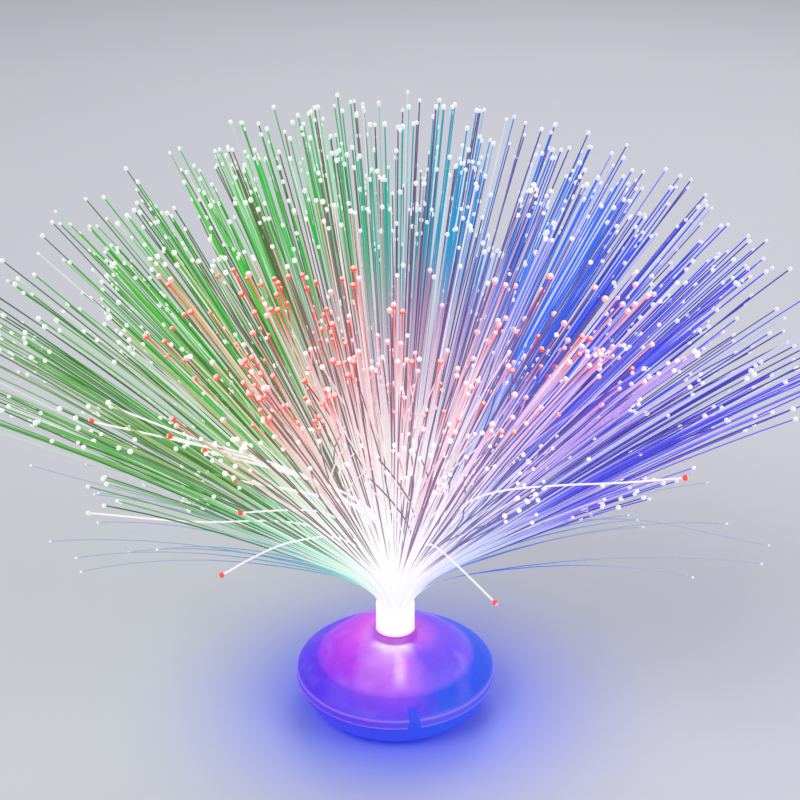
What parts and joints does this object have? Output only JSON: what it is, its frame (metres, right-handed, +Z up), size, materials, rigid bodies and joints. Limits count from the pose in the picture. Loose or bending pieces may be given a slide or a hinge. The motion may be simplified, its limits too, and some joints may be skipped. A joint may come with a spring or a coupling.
{
  "type": "fibre optic lamp",
  "caption": "Battery-powered table lamp: a spray of light fibres stands in the collar of a glowing saucer-shaped base with a twist-off battery cover and a slide switch.",
  "frame": {"origin": "centre of the foot ring, on the surface that the lamp stands on", "axes": "+Z up along the base's axis; -Y is the front, with the rim notch a little to its right; the spray is widest along X"},
  "size_m": [0.3758, 0.283, 0.2735],
  "materials": {
    "glow_plastic": "translucent, satin",
    "blue_plastic": "translucent, satin",
    "clear_plastic": "clear, polished",
    "fibre_green": "clear, glossy",
    "fibre_blue": "clear, glossy",
    "fibre_red": "clear, glossy",
    "fibre_teal": "clear, glossy",
    "white_plastic": "moulded",
    "black_plastic": "moulded",
    "nickel": "nickel-plated",
    "screw_steel": "zinc-plated",
    "cell_wrap": "coated, satin",
    "board": "solder-mask green",
    "resistor": "lacquered",
    "led_red": "tinted, glossy",
    "led_green": "tinted, glossy",
    "led_blue": "tinted, glossy",
    "red_lead": "insulated",
    "black_lead": "insulated"
  },
  "bodies": {
    "lamp": {"upper_shell": "glow_plastic", "lower_shell": "blue_plastic", "battery_tray": "white_plastic", "battery_1": "cell_wrap", "battery_2": "cell_wrap", "battery_3": "cell_wrap", "spring_1": "nickel", "spring_2": "nickel", "spring_3": "nickel", "contact_positive": "nickel", "contact_link_left": "nickel", "contact_link_right": "nickel", "contact_negative": "nickel", "shell_screw_1": "screw_steel", "shell_screw_2": "screw_steel", "shell_screw_3": "screw_steel", "shell_screw_4": "screw_steel", "tray_screw_1": "screw_steel", "tray_screw_2": "screw_steel", "board_screw_1": "screw_steel", "board_screw_2": "screw_steel", "led_board": "board", "led_green": "led_green", "led_red": "led_red", "led_blue": "led_blue", "resistor_1": "resistor", "resistor_2": "resistor", "resistor_3": "resistor", "switch_body": "nickel", "lead_positive": "red_lead", "lead_switch": "red_lead", "lead_negative": "black_lead", "fibre_ferrule": "clear_plastic", "fibres_right": "fibre_blue", "fibres_back": "fibre_teal", "fibres_left": "fibre_green", "fibres_front": "fibre_red"},
    "cover": {"battery_cover": "blue_plastic"},
    "slider": {"switch_slider": "black_plastic"}
  },
  "joints": [
    {"name": "cover_twist", "type": "hinge", "parent": "lamp", "child": "cover", "pos_m": [0, 0, 0.0014], "axis": [0, 0, -1], "range_deg": [0, 28]},
    {"name": "switch_slide", "type": "slide", "parent": "lamp", "child": "slider", "axis": [-1, 0, 0], "range_m": [0, 0.0025]}
  ]
}
